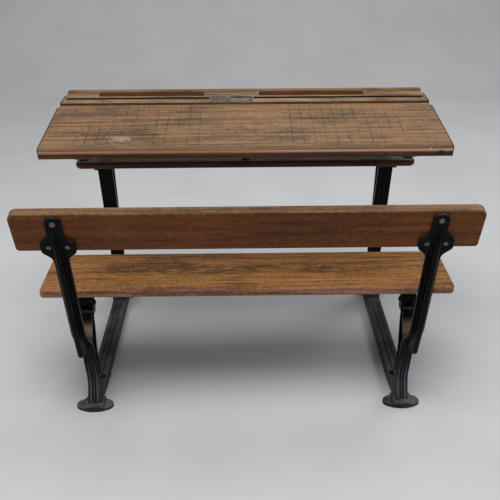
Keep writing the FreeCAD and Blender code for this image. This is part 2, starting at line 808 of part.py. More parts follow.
def seat_board():
    """The bench seat."""
    half = seat_width / 2.0
    blank = board(-half, half, seat_back_y, seat_back_y + seat_depth, seat_under, seat_top,
                  seat_round, seat_round * 0.6, seat_round + 2.0)
    for end in (-1, 1):
        for hole in seat_screws(end * frame_x):
            blank = blank.cut(hole)
    return blank


def seat_plate_start():
    return seat_axis_y - 7.0


def seat_bracket(x):
    """The hinge casting under the seat: plate, web, knuckle and stop tail."""
    y0 = seat_plate_start()
    y1 = y0 + seat_plate_length
    low = seat_under - seat_plate
    half = knuckle_length / 2.0
    leaf = plate([at(-half - 6, y0, low), at(half + 6, y0, low), at(half, y1, low),
                  at(-half, y1, low)], [3.0, 3.0, 7.0, 7.0], at(0, 0, seat_plate))
    tail_y = bearing_y + seat_gap
    tail_z = seat_axis_z - tail_length
    web = side_plate([side(seat_axis_y - 4.0, low + 1.0), side(y1 - 6.0, low + 1.0),
                      side(y1 - 8.0, low - 2.0), side(tail_y + 14.0, seat_axis_z - 6.0),
                      side(tail_y + 9.5, tail_z), side(tail_y, tail_z),
                      side(tail_y, seat_axis_z), side(seat_axis_y - 4.0, seat_axis_z)],
                     [0.0, 0.0, 0.0, 22.0, 4.0, 1.5, 0.0, 0.0], web_thickness)
    tail = side_plate([side(tail_y, tail_z), side(tail_y + 6.0, tail_z),
                       side(tail_y + 6.0, seat_axis_z), side(tail_y, seat_axis_z)],
                      [1.5, 1.5, 0.0, 0.0], knuckle_length)
    knuckle = rod(knuckle_radius, -half, half, seat_axis_y, seat_axis_z)
    body = joined([leaf, web, tail, knuckle])
    body = body.cut(rod(seat_pin_radius + running_gap, -40, 40, seat_axis_y, seat_axis_z))
    for hole in seat_screws(0.0):
        body = body.cut(hole)
    body.translate(at(x, 0, 0))
    return body


def seat_screws(x):
    """Screws up through the hinge casting's plate into the seat."""
    low = seat_under - seat_plate
    length = seat_plate + seat_thickness * 0.6
    start = seat_plate_start()
    places = [(-9.0, start + 12.0), (9.0, start + 12.0),
              (-7.0, start + seat_plate_length * 0.72), (7.0, start + seat_plate_length * 0.72)]
    return [screw(at(x + dx, y, low), at(0, 0, 1), length) for dx, y in places]


def seat_pin(x):
    """The hinge pin, its round head towards the middle of the bench."""
    inward = -1 if x > 0 else 1
    half = knuckle_length / 2.0 + swing_gap + lug_thickness
    pin = rod(seat_pin_radius, x - half, x + half, seat_axis_y, seat_axis_z)
    face = x + inward * half
    collar = 2.2
    head = Part.makeCylinder(pin_head_radius, collar, at(face, seat_axis_y, seat_axis_z),
                             at(inward, 0, 0))
    dome = Part.makeCone(pin_head_radius, pin_head_radius - 3.0, 2.4,
                         at(face + inward * collar, seat_axis_y, seat_axis_z),
                         at(inward, 0, 0))
    far = x - inward * half
    peen = Part.makeCone(pin_head_radius - 1.0, pin_head_radius - 2.8, 1.8,
                         at(far, seat_axis_y, seat_axis_z), at(-inward, 0, 0))
    return joined([pin, head, dome, peen])


def back_rail():
    """The back rail, leaned with the spades that it is screwed to."""
    half = back_rail_width / 2.0
    thick = back_rail_thickness
    corners = [back_rail_low_corner] * 2 + [back_rail_corner] * 2
    face = [at(-half, 0, 0), at(half, 0, 0), at(half, 0, back_rail_height),
            at(-half, 0, back_rail_height)]
    blank = plate(face, corners, at(0, thick, 0))
    for y in (0.0, thick):
        around = [e for e in blank.Edges
                  if e.BoundBox.YMin > y - 0.01 and e.BoundBox.YMax < y + 0.01]
        blank = blank.makeFillet(back_rail_round, around)
    blank.rotate(at(0, 0, 0), at(1, 0, 0), back_rail_lean)
    blank.translate(at(0, back_rail_foot_y, back_rail_foot_z))
    for end in (-1, 1):
        for hole in back_rail_screws(end * frame_x):
            blank = blank.cut(hole)
    return blank


def shelf_board():
    """The book shelf: rounded front corners, a raised rim and a slot at each web."""
    half = shelf_width / 2.0
    y0 = shelf_front_y
    y1 = y0 + shelf_depth
    blank = board(-half, half, y0, y1 + shelf_round, shelf_under, shelf_top, shelf_round,
                  shelf_round, shelf_corner)
    blank = blank.cut(box(-half - 1.0, half + 1.0, y1, y1 + shelf_depth, shelf_under - 1.0,
                          shelf_top + 1.0))
    inner = half - shelf_rim
    field = [at(-inner, y0 + shelf_rim, shelf_top - shelf_sink),
             at(inner, y0 + shelf_rim, shelf_top - shelf_sink),
             at(inner, y1 + 1.0, shelf_top - shelf_sink),
             at(-inner, y1 + 1.0, shelf_top - shelf_sink)]
    corner = max(shelf_corner - shelf_rim, 1.0)
    blank = blank.cut(plate(field, [corner, corner, 0.0, 0.0], at(0, 0, shelf_sink + 1.0)))
    slot = web_thickness / 2.0 + swing_gap
    for end in (-1, 1):
        x = end * frame_x
        blank = blank.cut(box(x - slot, x + slot, column_top.y + 6.0 - swing_gap, y1 + 1.0,
                              shelf_under - 1.0, shelf_top + 1.0))
        for hole in shelf_screws(x):
            blank = blank.cut(hole)
    for hole in centre_shelf_screws():
        blank = blank.cut(hole)
    return blank


def centre_bracket():
    """The bracket that hangs the middle of the shelf from the back board."""
    low = shelf_top - shelf_sink
    top = back_board_under
    half = bracket_width / 2.0
    leaf = plate([at(-half, bracket_front_y, low), at(half, bracket_front_y, low),
                  at(half, bracket_leaf_back_y, low), at(-half, bracket_leaf_back_y, low)],
                 [half - 0.05, half - 0.05, 2.0, 2.0], at(0, 0, bracket_plate))
    head_y = bracket_head_y
    head = plate([at(-half, head_y, top - bracket_plate), at(half, head_y, top - bracket_plate),
                  at(half, bracket_head_back_y, top - bracket_plate),
                  at(-half, bracket_head_back_y, top - bracket_plate)],
                 2.0, at(0, 0, bracket_plate))
    web = side_plate([side(bracket_front_y + 5.0, low + 2.0),
                      side(bracket_leaf_back_y - 20.0, low + 2.0),
                      side(bracket_head_back_y - 26.0, (low + top) / 2.0),
                      side(bracket_head_back_y - 6.0, top - 2.0), side(head_y + 4.0, top - 2.0),
                      side(head_y + 2.0, (low + top) / 2.0 + 22.0),
                      side(bracket_front_y + 5.0, low + 12.0)],
                     [0.0, 0.0, 60.0, 0.0, 0.0, 60.0, 4.0], rib)
    body = joined([leaf, head, web])
    for hole in centre_shelf_screws() + centre_top_screws():
        body = body.cut(hole)
    return body


def centre_shelf_screws():
    top = shelf_top - shelf_sink + bracket_plate
    length = bracket_plate + (shelf_thickness - shelf_sink) * 0.7
    reach = bracket_width * 0.5 - screw_head - 0.6
    places = [(reach, bracket_front_y + 26.0), (-reach, bracket_leaf_back_y - 8.0)]
    return [screw(at(dx, y, top), at(0, 0, -1), length) for dx, y in places]


def centre_top_screws():
    low = back_board_under - bracket_plate
    length = bracket_plate + back_board_thickness * 0.38
    return [screw(at(0.0, bracket_head_back_y - 7.0, low), at(0, 0, 1), length)]


def frame_bolts():
    """A round-headed bolt and a square nut through each bar and toe."""
    found = []
    half = bar_width / 2.0
    y, z = toe_bolt_y(), bolt_z()
    for end in (-1, 1):
        middle = end * frame_x
        inner = middle - end * half
        outer = middle + end * half
        a, b = sorted((inner, outer + end * (nut_height + 2.5)))
        shank = rod(seat_pin_radius, a, b, y, z)
        head = Part.makeCone(bolt_head_radius, bolt_head_radius - 3.0, 3.2, at(inner, y, z),
                             at(-end, 0, 0))
        x0, x1 = sorted((outer, outer + end * nut_height))
        flat = nut_width / 2.0
        nut = box(x0, x1, y - flat, y + flat, z - flat, z + flat)
        found.append(joined([shank, head]))
        found.append(nut.cut(rod(seat_pin_radius, x0 - 1, x1 + 1, y, z)))
    return compound(found)


def every_piece():
    pieces = {}
    for name, end in (("left", -1), ("right", 1)):
        x = end * frame_x
        pieces["seat_standard_" + name] = seat_standard(x)
        pieces["desk_standard_" + name] = desk_standard(x)
        pieces["seat_bracket_" + name] = seat_bracket(x)
        pieces["seat_hinge_pin_" + name] = seat_pin(x)
        pieces["lid_pivot_" + name] = lid_pivot(end)
    pieces["lid_board"] = lid_board()
    pieces["back_board"] = back_board()
    pieces["seat_board"] = seat_board()
    pieces["back_rail"] = back_rail()
    pieces["shelf_board"] = shelf_board()
    pieces["centre_bracket"] = centre_bracket()
    pieces["inkwell_housing"] = ink_housing()
    pieces["inkwell_slide"] = ink_slide()
    pieces["inkwell_pot"] = ink_pot()
    pieces["frame_bolts"] = frame_bolts()
    both = (-frame_x, frame_x)
    pieces["back_rail_screws"] = compound([s for x in both for s in back_rail_screws(x)])
    pieces["back_board_screws"] = compound([s for x in both for s in top_screws(x)])
    pieces["shelf_screws"] = compound([s for x in both for s in shelf_screws(x)])
    pieces["seat_screws"] = compound([s for x in both for s in seat_screws(x)])
    pieces["lid_pivot_screws"] = compound(pivot_screws(-1) + pivot_screws(1))
    pieces["bracket_screws"] = compound(centre_shelf_screws() + centre_top_screws())
    pieces["inkwell_screws"] = compound(ink_screws())
    return pieces


def main():
    os.makedirs("parts", exist_ok=True)
    pieces = every_piece()
    whole = compound(list(pieces.values())).optimalBoundingBox(False, False)
    middle = at(-(whole.XMin + whole.XMax) / 2.0, -(whole.YMin + whole.YMax) / 2.0,
                -whole.ZMin)
    for name, shape in pieces.items():
        shape.translate(middle)
        shape.exportStep(os.path.join("parts", name + ".step"))
        print(name, len(shape.Solids), shape.isValid(), round(shape.Volume))
    print("moved by", middle)


main()
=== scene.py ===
import json
import math

import bmesh
import bpy
import numpy as np
from mathutils import Matrix, Vector


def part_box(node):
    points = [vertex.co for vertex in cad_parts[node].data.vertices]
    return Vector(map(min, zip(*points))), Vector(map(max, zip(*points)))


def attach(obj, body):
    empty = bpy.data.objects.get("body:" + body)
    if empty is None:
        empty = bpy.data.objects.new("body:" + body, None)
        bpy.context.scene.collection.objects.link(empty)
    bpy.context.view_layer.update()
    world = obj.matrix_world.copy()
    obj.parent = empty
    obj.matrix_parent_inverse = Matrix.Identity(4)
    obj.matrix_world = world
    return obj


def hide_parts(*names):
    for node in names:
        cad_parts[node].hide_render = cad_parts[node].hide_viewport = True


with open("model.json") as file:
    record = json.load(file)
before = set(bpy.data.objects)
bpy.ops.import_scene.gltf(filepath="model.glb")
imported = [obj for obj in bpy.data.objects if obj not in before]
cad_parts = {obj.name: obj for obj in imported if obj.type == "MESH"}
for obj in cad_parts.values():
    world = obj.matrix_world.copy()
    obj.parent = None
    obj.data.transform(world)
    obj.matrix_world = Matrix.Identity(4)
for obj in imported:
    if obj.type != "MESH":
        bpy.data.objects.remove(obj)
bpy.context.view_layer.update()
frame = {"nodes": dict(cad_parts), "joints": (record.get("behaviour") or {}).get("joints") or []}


# ---- Camera ----
# A 50 mm lens at a standing teacher's eye, behind the bench and looking down on the desk. It
# is turned a little to the sitters' right and hardly rolled.
eye = (-0.0101, -1.4572, 1.1269)
pitch, yaw, roll = (math.radians(angle) for angle in (29.27, 0.705, -0.25))
camera_data = bpy.data.cameras.new("eye")
camera_data.lens = 50.0
camera_data.sensor_width = 36.0
camera_data.shift_y = -0.001
camera = bpy.data.objects.new("eye", camera_data)
bpy.context.scene.collection.objects.link(camera)
ahead = Vector((math.sin(yaw) * math.cos(pitch), math.cos(yaw) * math.cos(pitch),
                -math.sin(pitch)))
across = Vector((math.cos(yaw), -math.sin(yaw), 0.0))
upward = across.cross(ahead)
right = math.cos(roll) * across + math.sin(roll) * upward
top = math.cos(roll) * upward - math.sin(roll) * across
view = Matrix((right, top, -ahead)).transposed().to_4x4()
camera.matrix_world = Matrix.Translation(eye) @ view
bpy.context.scene.camera = camera


# ---- Iron castings ----
# Two standards under the bench, two under the desk, the seat hinges, the lid's pivot straps
# and the shelf's centre bracket, all of grey iron cast in sand. Thick black enamel is brushed
# on, chipped to brown along the arrises, and floor dust lies wherever they face up. A bluish
# painted highlight runs along the arrises, and low down a grey film is partly shoe dust and
# partly painted sheen.
nodes = frame["nodes"]
black_paint = (0.0024, 0.0024, 0.0034)
# The bluish tone below is a painted highlight for the arrises.
painted_arris_highlight = (0.050, 0.057, 0.080)
bare_iron = (0.105, 0.072, 0.050)
chipped_iron = (0.20, 0.15, 0.11)
# The film tone below is partly shoe dust and partly a painted sheen low on the castings.
low_sheen_and_shoe_film = (0.095, 0.098, 0.118)
floor_dust = (0.165, 0.138, 0.115)
film_top, film_foot = 0.125, 0.010


def put(tree, kind, inputs=None, **settings):
    """Adds a shader node, sets it up, and links or fills its inputs."""
    made = tree.nodes.new(kind)
    for name, value in settings.items():
        setattr(made, name, value)
    for name, value in (inputs or {}).items():
        if isinstance(value, bpy.types.NodeSocket):
            tree.links.new(value, made.inputs[name])
        else:
            made.inputs[name].default_value = value
    return made


def maths(tree, operation, first, second=0.0, third=0.0):
    """One Math node."""
    return put(tree, "ShaderNodeMath", {0: first, 1: second, 2: third},
               operation=operation).outputs[0]


def times(tree, share, *others):
    """The product of all the shares."""
    for other in others:
        share = maths(tree, "MULTIPLY", share, other)
    return share


def level(tree, value, low, high, start=0.0, end=1.0):
    """Runs smoothly from start to end while value goes from low to high."""
    return put(tree, "ShaderNodeMapRange", {0: value, 1: low, 2: high, 3: start, 4: end},
               interpolation_type="SMOOTHSTEP").outputs[0]


def between(tree, value, low, high, edge):
    """1 while value lies between low and high, with soft ends of width edge."""
    return times(tree, level(tree, value, low - edge, low + edge),
                 level(tree, value, high + edge, high - edge))


def stretched(tree, place, scale, shift=(0.0, 0.0, 0.0), turn=(0.0, 0.0, 0.0)):
    """Object coordinates scaled along each axis, then turned, then shifted."""
    return put(tree, "ShaderNodeMapping", {"Vector": place, "Scale": scale, "Location": shift,
                                           "Rotation": turn}).outputs[0]


def cloud(tree, place, scale, detail=4.0, rough=0.55, bend=0.0):
    """Soft noise from 0 to 1."""
    return put(tree, "ShaderNodeTexNoise", {"Vector": place, "Scale": scale, "Detail": detail,
                                            "Roughness": rough, "Distortion": bend}).outputs[0]


def tint(tree, share, first, second):
    """Mixes two colours: the first at a share of 0, the second at 1."""
    made = put(tree, "ShaderNodeMix", {0: share}, data_type="RGBA")
    for index, value in ((6, first), (7, second)):
        if isinstance(value, bpy.types.NodeSocket):
            tree.links.new(value, made.inputs[index])
        else:
            made.inputs[index].default_value = (*value, 1.0)
    return made.outputs[2]


def axes_of(tree, vector):
    """The three numbers of a vector."""
    return put(tree, "ShaderNodeSeparateXYZ", {0: vector}).outputs


def new_surface(name):
    """An empty material: its shader, its object coordinates and its object-space normal."""
    material = bpy.data.materials.new(name)
    material.use_nodes = True
    tree = material.node_tree
    coordinates = put(tree, "ShaderNodeTexCoord").outputs
    return (material, tree, tree.nodes["Principled BSDF"], coordinates["Object"],
            axes_of(tree, coordinates["Normal"]))


def soft_arris(tree, radius):
    """The normal of rounded arrises, and a mask that is 1 on an arris and 0 on a flat."""
    soft = put(tree, "ShaderNodeBevel", {"Radius": radius}, samples=4).outputs[0]
    true = put(tree, "ShaderNodeNewGeometry").outputs["Normal"]
    likeness = put(tree, "ShaderNodeVectorMath", {0: soft, 1: true}, operation="DOT_PRODUCT")
    return soft, level(tree, likeness.outputs["Value"], 0.995, 0.86)


def finish_surface(tree, shader, colour, rough, height, normal, strength, distance):
    """Links colour, roughness and bump to the shader."""
    bump = put(tree, "ShaderNodeBump", {"Height": height, "Strength": strength,
                                        "Distance": distance, "Normal": normal}).outputs[0]
    tree.links.new(colour, shader.inputs["Base Color"])
    tree.links.new(rough, shader.inputs["Roughness"])
    tree.links.new(bump, shader.inputs["Normal"])


def black_enamel(name, dust=0.85, chip=0.6, paint=black_paint, extra=None):
    """Black paint, lumpy from the sand and the brush.

    Its arrises carry a painted bluish highlight and are chipped, a grey film lies low down,
    partly shoe dust and partly painted sheen, and dust lies on top. dust is how much of it
    there is, chip how bare the chips are. extra adds marks of one kind of piece to the colour
    and to the dust.
    """
    material, tree, shader, place, facing = new_surface(name)
    lumps = cloud(tree, place, 48.0, 3.0)
    sand = cloud(tree, place, 430.0, 3.0, 0.7)
    patches = cloud(tree, place, 13.0, 5.0, 0.6)
    grime = cloud(tree, place, 85.0, 6.0, 0.7)
    soft, arris = soft_arris(tree, 0.0024)
    thin_paint = tuple(1.8 * value for value in paint)
    colour = tint(tree, level(tree, patches, 0.35, 0.7), paint, thin_paint)
    # Painted highlight: a bluish tint along the arrises, broken by the patches.
    worn = times(tree, arris, level(tree, patches, 0.30, 0.60, 0.25, 0.75))
    colour = tint(tree, worn, colour, painted_arris_highlight)
    bare = times(tree, arris, level(tree, grime, 0.54, 0.70, 0.0, chip))
    colour = tint(tree, bare, colour, bare_iron)
    chips = times(tree, level(tree, grime, 0.705, 0.73),
                  level(tree, patches, 0.50, 0.60, 0.0, chip))
    colour = tint(tree, chips, colour, chipped_iron)
    # Low down a grey film, partly shoe dust and partly painted sheen.
    low = level(tree, axes_of(tree, place)[2], film_top, film_foot)
    film = times(tree, low, level(tree, patches, 0.30, 0.70, 0.20, 0.60))
    colour = tint(tree, film, colour, low_sheen_and_shoe_film)
    settled = times(tree, level(tree, facing[2], 0.45, 0.92),
                    level(tree, maths(tree, "ADD", grime, patches), 0.70, 1.20, 0.10, dust),
                    maths(tree, "MULTIPLY_ADD", low, 0.75, 0.25))
    colour = tint(tree, settled, colour, floor_dust)
    if extra:
        colour, settled = extra(tree, place, facing, colour, settled, patches)
    rough = level(tree, maths(tree, "ADD", lumps, patches), 0.6, 1.4, 0.17, 0.32)
    for matt in (film, settled, bare):
        rough = maths(tree, "MULTIPLY_ADD", matt, 0.45, rough)
    height = maths(tree, "MULTIPLY_ADD", sand, 0.14, lumps)
    finish_surface(tree, shader, colour, rough, height, soft, 0.5, 0.0010)
    shader.inputs["Specular IOR Level"].default_value = 0.065
    return material


joint_places = {joint["name"]: joint.get("pos_m") for joint in frame["joints"]}
casting_x = sum(corner.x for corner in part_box("seat_standard_right")) / 2.0
hinge_y, hinge_z = joint_places["seat_hinge"][1:]
fork_y = (hinge_y - 0.0364, hinge_y - 0.0084)
fork_z = (hinge_z - 0.0720, hinge_z - 0.0460)
fork_dust = (0.200, 0.150, 0.110)
shin_front, shin_foot, shin_full, shin_top = -0.180, 0.020, 0.060, 0.150
middle_crest, outer_crest = 0.0012, (0.0056, 0.0100)
# A painted bluish highlight for the reed crests.
painted_crest_highlight = (0.150, 0.158, 0.190)
hollow = (0.0016, 0.0040)
# Painted shade for the grooves between the reeds.
painted_groove_shade = (0.0030, 0.0030, 0.0040)
tread_y, tread_half, tread_top = (-0.130, 0.120), 0.0085, 0.060
tread_paint = (0.022, 0.024, 0.032)
bar_y, bar_top = (-0.185, 0.300), 0.075
bar_dark, bar_pale = (0.034, 0.034, 0.041), (0.092, 0.092, 0.106)


def fork_and_bar(tree, place, facing, colour, settled, patches):
    """Marks of the standards: dust caught in the fork, the shin's reeds and the grey floor bar.

    The reeds run at even distances from the casting's middle plane. Low on the shin their
    crests get a painted highlight and their grooves painted shade, and feet wipe the dust off
    the middle of the bar.
    """
    x, y, z = axes_of(tree, place)
    caught = times(tree, between(tree, y, *fork_y, 0.001), between(tree, z, *fork_z, 0.012),
                   level(tree, facing[1], -0.70, -0.80),
                   level(tree, patches, 0.30, 0.60, 0.35, 0.85))
    colour = tint(tree, caught, colour, fork_dust)
    aside = maths(tree, "ABSOLUTE",
                  maths(tree, "SUBTRACT", maths(tree, "ABSOLUTE", x), casting_x))
    shin = times(tree, level(tree, z, shin_top, shin_full),
                 level(tree, z, shin_foot - 0.006, shin_foot),
                 level(tree, y, shin_front + 0.010, shin_front),
                 level(tree, facing[2], 0.70, 0.60))
    crests = maths(tree, "MAXIMUM", level(tree, aside, middle_crest, middle_crest / 2.0),
                   between(tree, aside, *outer_crest, 0.0012))
    # Painted highlight on the reed crests low on the shin.
    colour = tint(tree, times(tree, crests, shin, 0.42), colour, painted_crest_highlight)
    # Painted shade in the grooves between the reeds low on the shin.
    hollows = between(tree, aside, *hollow, 0.0005)
    colour = tint(tree, times(tree, hollows, shin, 0.90), colour, painted_groove_shade)
    wiped = times(tree, level(tree, aside, tread_half, tread_half - 0.003),
                  between(tree, y, *tread_y, 0.060),
                  level(tree, z, tread_top, tread_top - 0.020, 0.0, 0.75))
    colour = tint(tree, wiped, colour, tread_paint)
    settled = times(tree, settled, maths(tree, "MULTIPLY_ADD", wiped, -0.8, 1.0))
    bar = times(tree, between(tree, y, *bar_y, 0.020),
                level(tree, z, bar_top, bar_top - 0.015),
                level(tree, facing[2], 0.2, 0.6, 0.0, 0.70))
    scuffs = tint(tree, level(tree, patches, 0.35, 0.65), bar_dark, bar_pale)
    colour = tint(tree, bar, colour, scuffs)
    return colour, maths(tree, "MAXIMUM", settled, caught)


def dress(name, material):
    """Gives a CAD node its finish."""
    slots = nodes[name].data.materials
    slots.clear()
    slots.append(material)


enamel = black_enamel("black enamel", extra=fork_and_bar)
for casting in ("seat_standard", "desk_standard", "seat_bracket", "lid_pivot"):
    for hand in ("left", "right"):
        dress(casting + "_" + hand, enamel)
dress("centre_bracket", enamel)


# ---- Bolts, nuts and hinge pins ----
# Mild steel. A bolt and a nut join each toe to its floor bar, and the pins carry the seat. All
# were painted over with the castings, and the paint is worn thin on the pins.
thin_black = (0.0050, 0.0048, 0.0050)
bolt_finish = black_enamel("painted bolts", dust=0.4, chip=0.9, paint=thin_black)
for name in ("seat_hinge_pin_left", "seat_hinge_pin_right", "frame_bolts"):
    dress(name, bolt_finish)


# ---- Back rail ----
# A sawn oak board behind the sitters' backs, screwed to the spades of the bench standards.
# Its faces keep an old red-brown varnish, and its top is worn down to pale tan by hands.
rail_scrubbed = ((0.078, 0.039, 0.017), (0.138, 0.074, 0.036), (0.210, 0.122, 0.064))
rail_varnish = ((0.090, 0.026, 0.0066), (0.162, 0.048, 0.0118), (0.235, 0.082, 0.0225))
rail_slope = math.radians(14.0)
grain_dirt = (0.030, 0.026, 0.025)
old_varnish_glint = (1.0, 0.84, 0.68, 1.0)


def dots(tree, vector, row):
    """One number: the vector's share along row."""
    return put(tree, "ShaderNodeVectorMath", {0: vector, 1: row},
               operation="DOT_PRODUCT").outputs["Value"]


def grown(tree, place, pith, cone, ring, seed, wander=0.016):
    """Growth rings: noise of the distance from a wandering pith line, counted in rings.

    The distance is taken across the grain from a line along X that sits at pith, drops by
    cone for each metre, and is pushed about by slow noise, so a flat sawn face shows
    arches in the middle and straight lines near its edges.
    """
    slow = stretched(tree, place, (1.7, 5.0, 5.0), (seed, 0.0, seed))
    drift = put(tree, "ShaderNodeTexNoise", {"Vector": slow, "Scale": 1.0,
                                             "Detail": 3.0}).outputs["Color"]
    pushed = put(tree, "ShaderNodeVectorMath", {0: drift, 1: (wander, wander, wander), 2: place},
                 operation="MULTIPLY_ADD").outputs[0]
    half = wander / 2.0
    y = maths(tree, "SUBTRACT", dots(tree, pushed, (0.0, 1.0, 0.0)), pith[0] + half)
    z = maths(tree, "SUBTRACT", dots(tree, pushed, (cone, 0.0, 1.0)), pith[1] + half)
    reach = maths(tree, "SQRT", maths(tree, "MULTIPLY_ADD", y, y, times(tree, z, z)))
    count = times(tree, reach, 1.0 / ring)
    return put(tree, "ShaderNodeTexNoise", {"W": count, "Scale": 1.0, "Detail": 5.0,
                                            "Roughness": 0.68}, noise_dimensions="1D").outputs[0]


def sawn_oak(name, scrubbed, varnish, pith, cone, seed, gloss, ring=0.0042, tilt=0.0, rings=0.55,
             grain=110.0, grime=0.45, dirt=grain_dirt, sheen=0.15, keeps=(0.15, 0.80),
             extra=None):
    """A board of oak with its grain along X.

    scrubbed holds the dark, mid and light tones of the faces that look up, varnish those of
    the faces that look sideways or down, and keeps is how far a face may turn up before the
    varnish thins and where it is gone. pith, cone and ring place the growth rings, and rings
    is how strongly they show. tilt is the board's slope, grain the fineness of its streaks,
    grime the share of dirt in them, and gloss the least and the most roughness. extra adds
    marks of one board to colour, roughness and height.
    """
    material, tree, shader, place, facing = new_surface(name)
    board = stretched(tree, place, (1.0, 1.0, 1.0), turn=(-tilt, 0.0, 0.0))
    own = (seed, seed * 0.37, seed * 0.71)

    def along_grain(along, across, detail, rough, bend=0.0):
        """Noise with one scale along the board and another across it."""
        scaled = stretched(tree, board, (along, across, across), own)
        return cloud(tree, scaled, 1.0, detail, rough, bend)

    growth = grown(tree, board, pith, cone, ring, seed)
    fibre = along_grain(10.0, 560.0, 4.0, 0.62)
    streak = along_grain(grain * 0.055, grain, 4.0, 0.62, 0.5)
    pores = along_grain(60.0, 1500.0, 2.0, 0.6)
    broad = along_grain(3.4, 9.0, 5.0, 0.62)
    mottle = along_grain(grain * 0.9, grain * 1.3, 3.0, 0.6)
    blot = along_grain(9.0, 17.0, 7.0, 0.66, 0.4)
    speck = along_grain(140.0, 190.0, 4.0, 0.7)
    # The patterns are added up by their shares. A tone that lies spread below or above the
    # mean of that sum is fully dark or fully pale.
    tone, weight = times(tree, growth, rings), rings
    for pattern, share in ((fibre, 0.34), (streak, 0.42), (broad, 0.46), (mottle, 0.34),
                           (speck, 0.34)):
        tone = maths(tree, "MULTIPLY_ADD", pattern, share, tone)
        weight += share
    mean, spread, overlap = weight / 2.0, 0.17, 0.02
    dark = level(tree, tone, mean - spread, mean + overlap)
    pale = level(tree, tone, mean - overlap, mean + spread)
    worn, kept = (tint(tree, pale, tint(tree, dark, tones[0], tones[1]), tones[2])
                  for tones in (scrubbed, varnish))
    up = level(tree, facing[2], *keeps)
    colour = tint(tree, up, kept, worn)
    lines = times(tree, level(tree, streak, 0.47, 0.34),
                  level(tree, broad, 0.62, 0.38, 0.15, grime))
    stain = times(tree, level(tree, blot, 0.50, 0.66, 0.0, grime), up)
    dashes = times(tree, level(tree, pores, 0.57, 0.68),
                   level(tree, growth, 0.56, 0.40, 0.25, 0.75))
    specks = level(tree, speck, 0.70, 0.78, 0.0, 0.45)
    for soiled in (lines, stain, dashes, specks):
        colour = tint(tree, soiled, colour, dirt)
    soft, arris = soft_arris(tree, 0.0022)
    rubbed = times(tree, arris, level(tree, blot, 0.34, 0.58, 0.10, 0.55))
    colour = tint(tree, rubbed, colour, scrubbed[2])
    rough = level(tree, maths(tree, "ADD", blot, fibre), 0.7, 1.3, *gloss)
    height = maths(tree, "SUBTRACT", maths(tree, "MULTIPLY_ADD", fibre, 0.5, growth),
                   times(tree, dashes, 0.8))
    if extra:
        colour, rough, height = extra(tree, place, facing, colour, rough, height, blot)
    finish_surface(tree, shader, colour, rough, height, soft, 0.35, 0.0004)
    shader.inputs["Specular IOR Level"].default_value = sheen
    shader.inputs["Specular Tint"].default_value = old_varnish_glint
    return material


dress("back_rail", sawn_oak("varnished rail", rail_scrubbed, rail_varnish, pith=(-0.62, 0.500),
                            cone=0.03, seed=4.2, gloss=(0.26, 0.38), tilt=rail_slope,
                            rings=0.30, keeps=(0.10, 0.60)))


# ---- Bench seat ----
# One oak plank, screwed to two iron knuckle brackets so that it tips up. Use has rubbed it to
# a golden tan, with black dirt worked into its open grain along the middle.
seat_scrubbed = ((0.108, 0.043, 0.012), (0.222, 0.098, 0.030), (0.325, 0.160, 0.058))
seat_varnish = ((0.175, 0.074, 0.036), (0.325, 0.160, 0.088), (0.460, 0.265, 0.165))
seat_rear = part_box("seat_board")[0].y
sat_on_y, sat_on_half = (seat_rear + 0.05915, seat_rear + 0.10215), 0.38
seat_dirt = (0.022, 0.016, 0.011)


def sat_in(tree, place, facing, colour, rough, height, blot):
    """Black dirt in the open grain along the middle of the seat, in smudges with frayed ends."""
    x, y, _ = axes_of(tree, place)
    patch = cloud(tree, stretched(tree, place, (8.0, 22.0, 1.0), (3.0, 1.0, 0.0)), 1.0, 4.0, 0.6)
    dash = cloud(tree, stretched(tree, place, (38.0, 230.0, 1.0)), 1.0, 4.0, 0.65, 0.4)
    smudge = times(tree, between(tree, y, *sat_on_y, 0.026),
                   level(tree, maths(tree, "ABSOLUTE", x), sat_on_half, sat_on_half - 0.08),
                   level(tree, patch, 0.40, 0.56, 0.15, 1.0),
                   level(tree, dash, 0.40, 0.56, 0.20, 1.0),
                   level(tree, facing[2], 0.8, 0.9), 0.90)
    return tint(tree, smudge, colour, seat_dirt), rough, height


dress("seat_board", sawn_oak("polished seat", seat_scrubbed, seat_varnish, pith=(0.16, 0.215),
                             cone=0.05, seed=9.1, gloss=(0.34, 0.50), ring=0.0060, grain=95.0,
                             keeps=(0.55, 0.97), extra=sat_in))


# ---- Book shelf ----
# One board with rounded front corners and a raised rim, stained dark and held by screws that
# rise through the shelf arms of the desk castings. Its top is pale grey, partly dust and
# partly painted light that lifts the shade under the lid; its rim is not.
# Pale grey tones for the top: dust, and painted light against the shade under the lid.
shelf_dust_and_light = ((0.190, 0.150, 0.130), (0.295, 0.248, 0.222), (0.390, 0.340, 0.310))
shelf_stained = ((0.046, 0.0185, 0.0120), (0.084, 0.0340, 0.0230), (0.135, 0.060, 0.042))
dress("shelf_board", sawn_oak("stained shelf", shelf_dust_and_light, shelf_stained, pith=(0.20, 0.30),
                              cone=0.04, seed=2.7, gloss=(0.28, 0.40), rings=0.4, grime=0.3,
                              keeps=(0.70, 0.98)))


# ---- Back board ----
# Oak, fixed, with a ledge along the back, two pen trays and two slate grooves. The ledge
# keeps its varnish and the strips beside the groove are scrubbed grey. The hollows carry
# painted shade: brown in the pen trays, near black in the narrow slate grooves.
board_scrubbed = ((0.125, 0.077, 0.044), (0.218, 0.143, 0.087), (0.300, 0.208, 0.134))
board_varnish = ((0.075, 0.031, 0.013), (0.150, 0.066, 0.028), (0.220, 0.108, 0.050))
ledge_dark, ledge_pale = (0.115, 0.054, 0.021), (0.220, 0.118, 0.052)
# Painted shade for the pen trays and the slate grooves.
tray_shade_brown, groove_shade_black = (0.145, 0.064, 0.031), (0.018, 0.014, 0.010)
board_low, board_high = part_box("back_board")
board_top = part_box("inkwell_housing")[1].z
ledge_front = board_high.y - 0.01985
hollows_y = (board_low.y + 0.02665, board_high.y - 0.01705)
hollows_end = board_high.x - 0.0040
tray_front = board_low.y + 0.04615


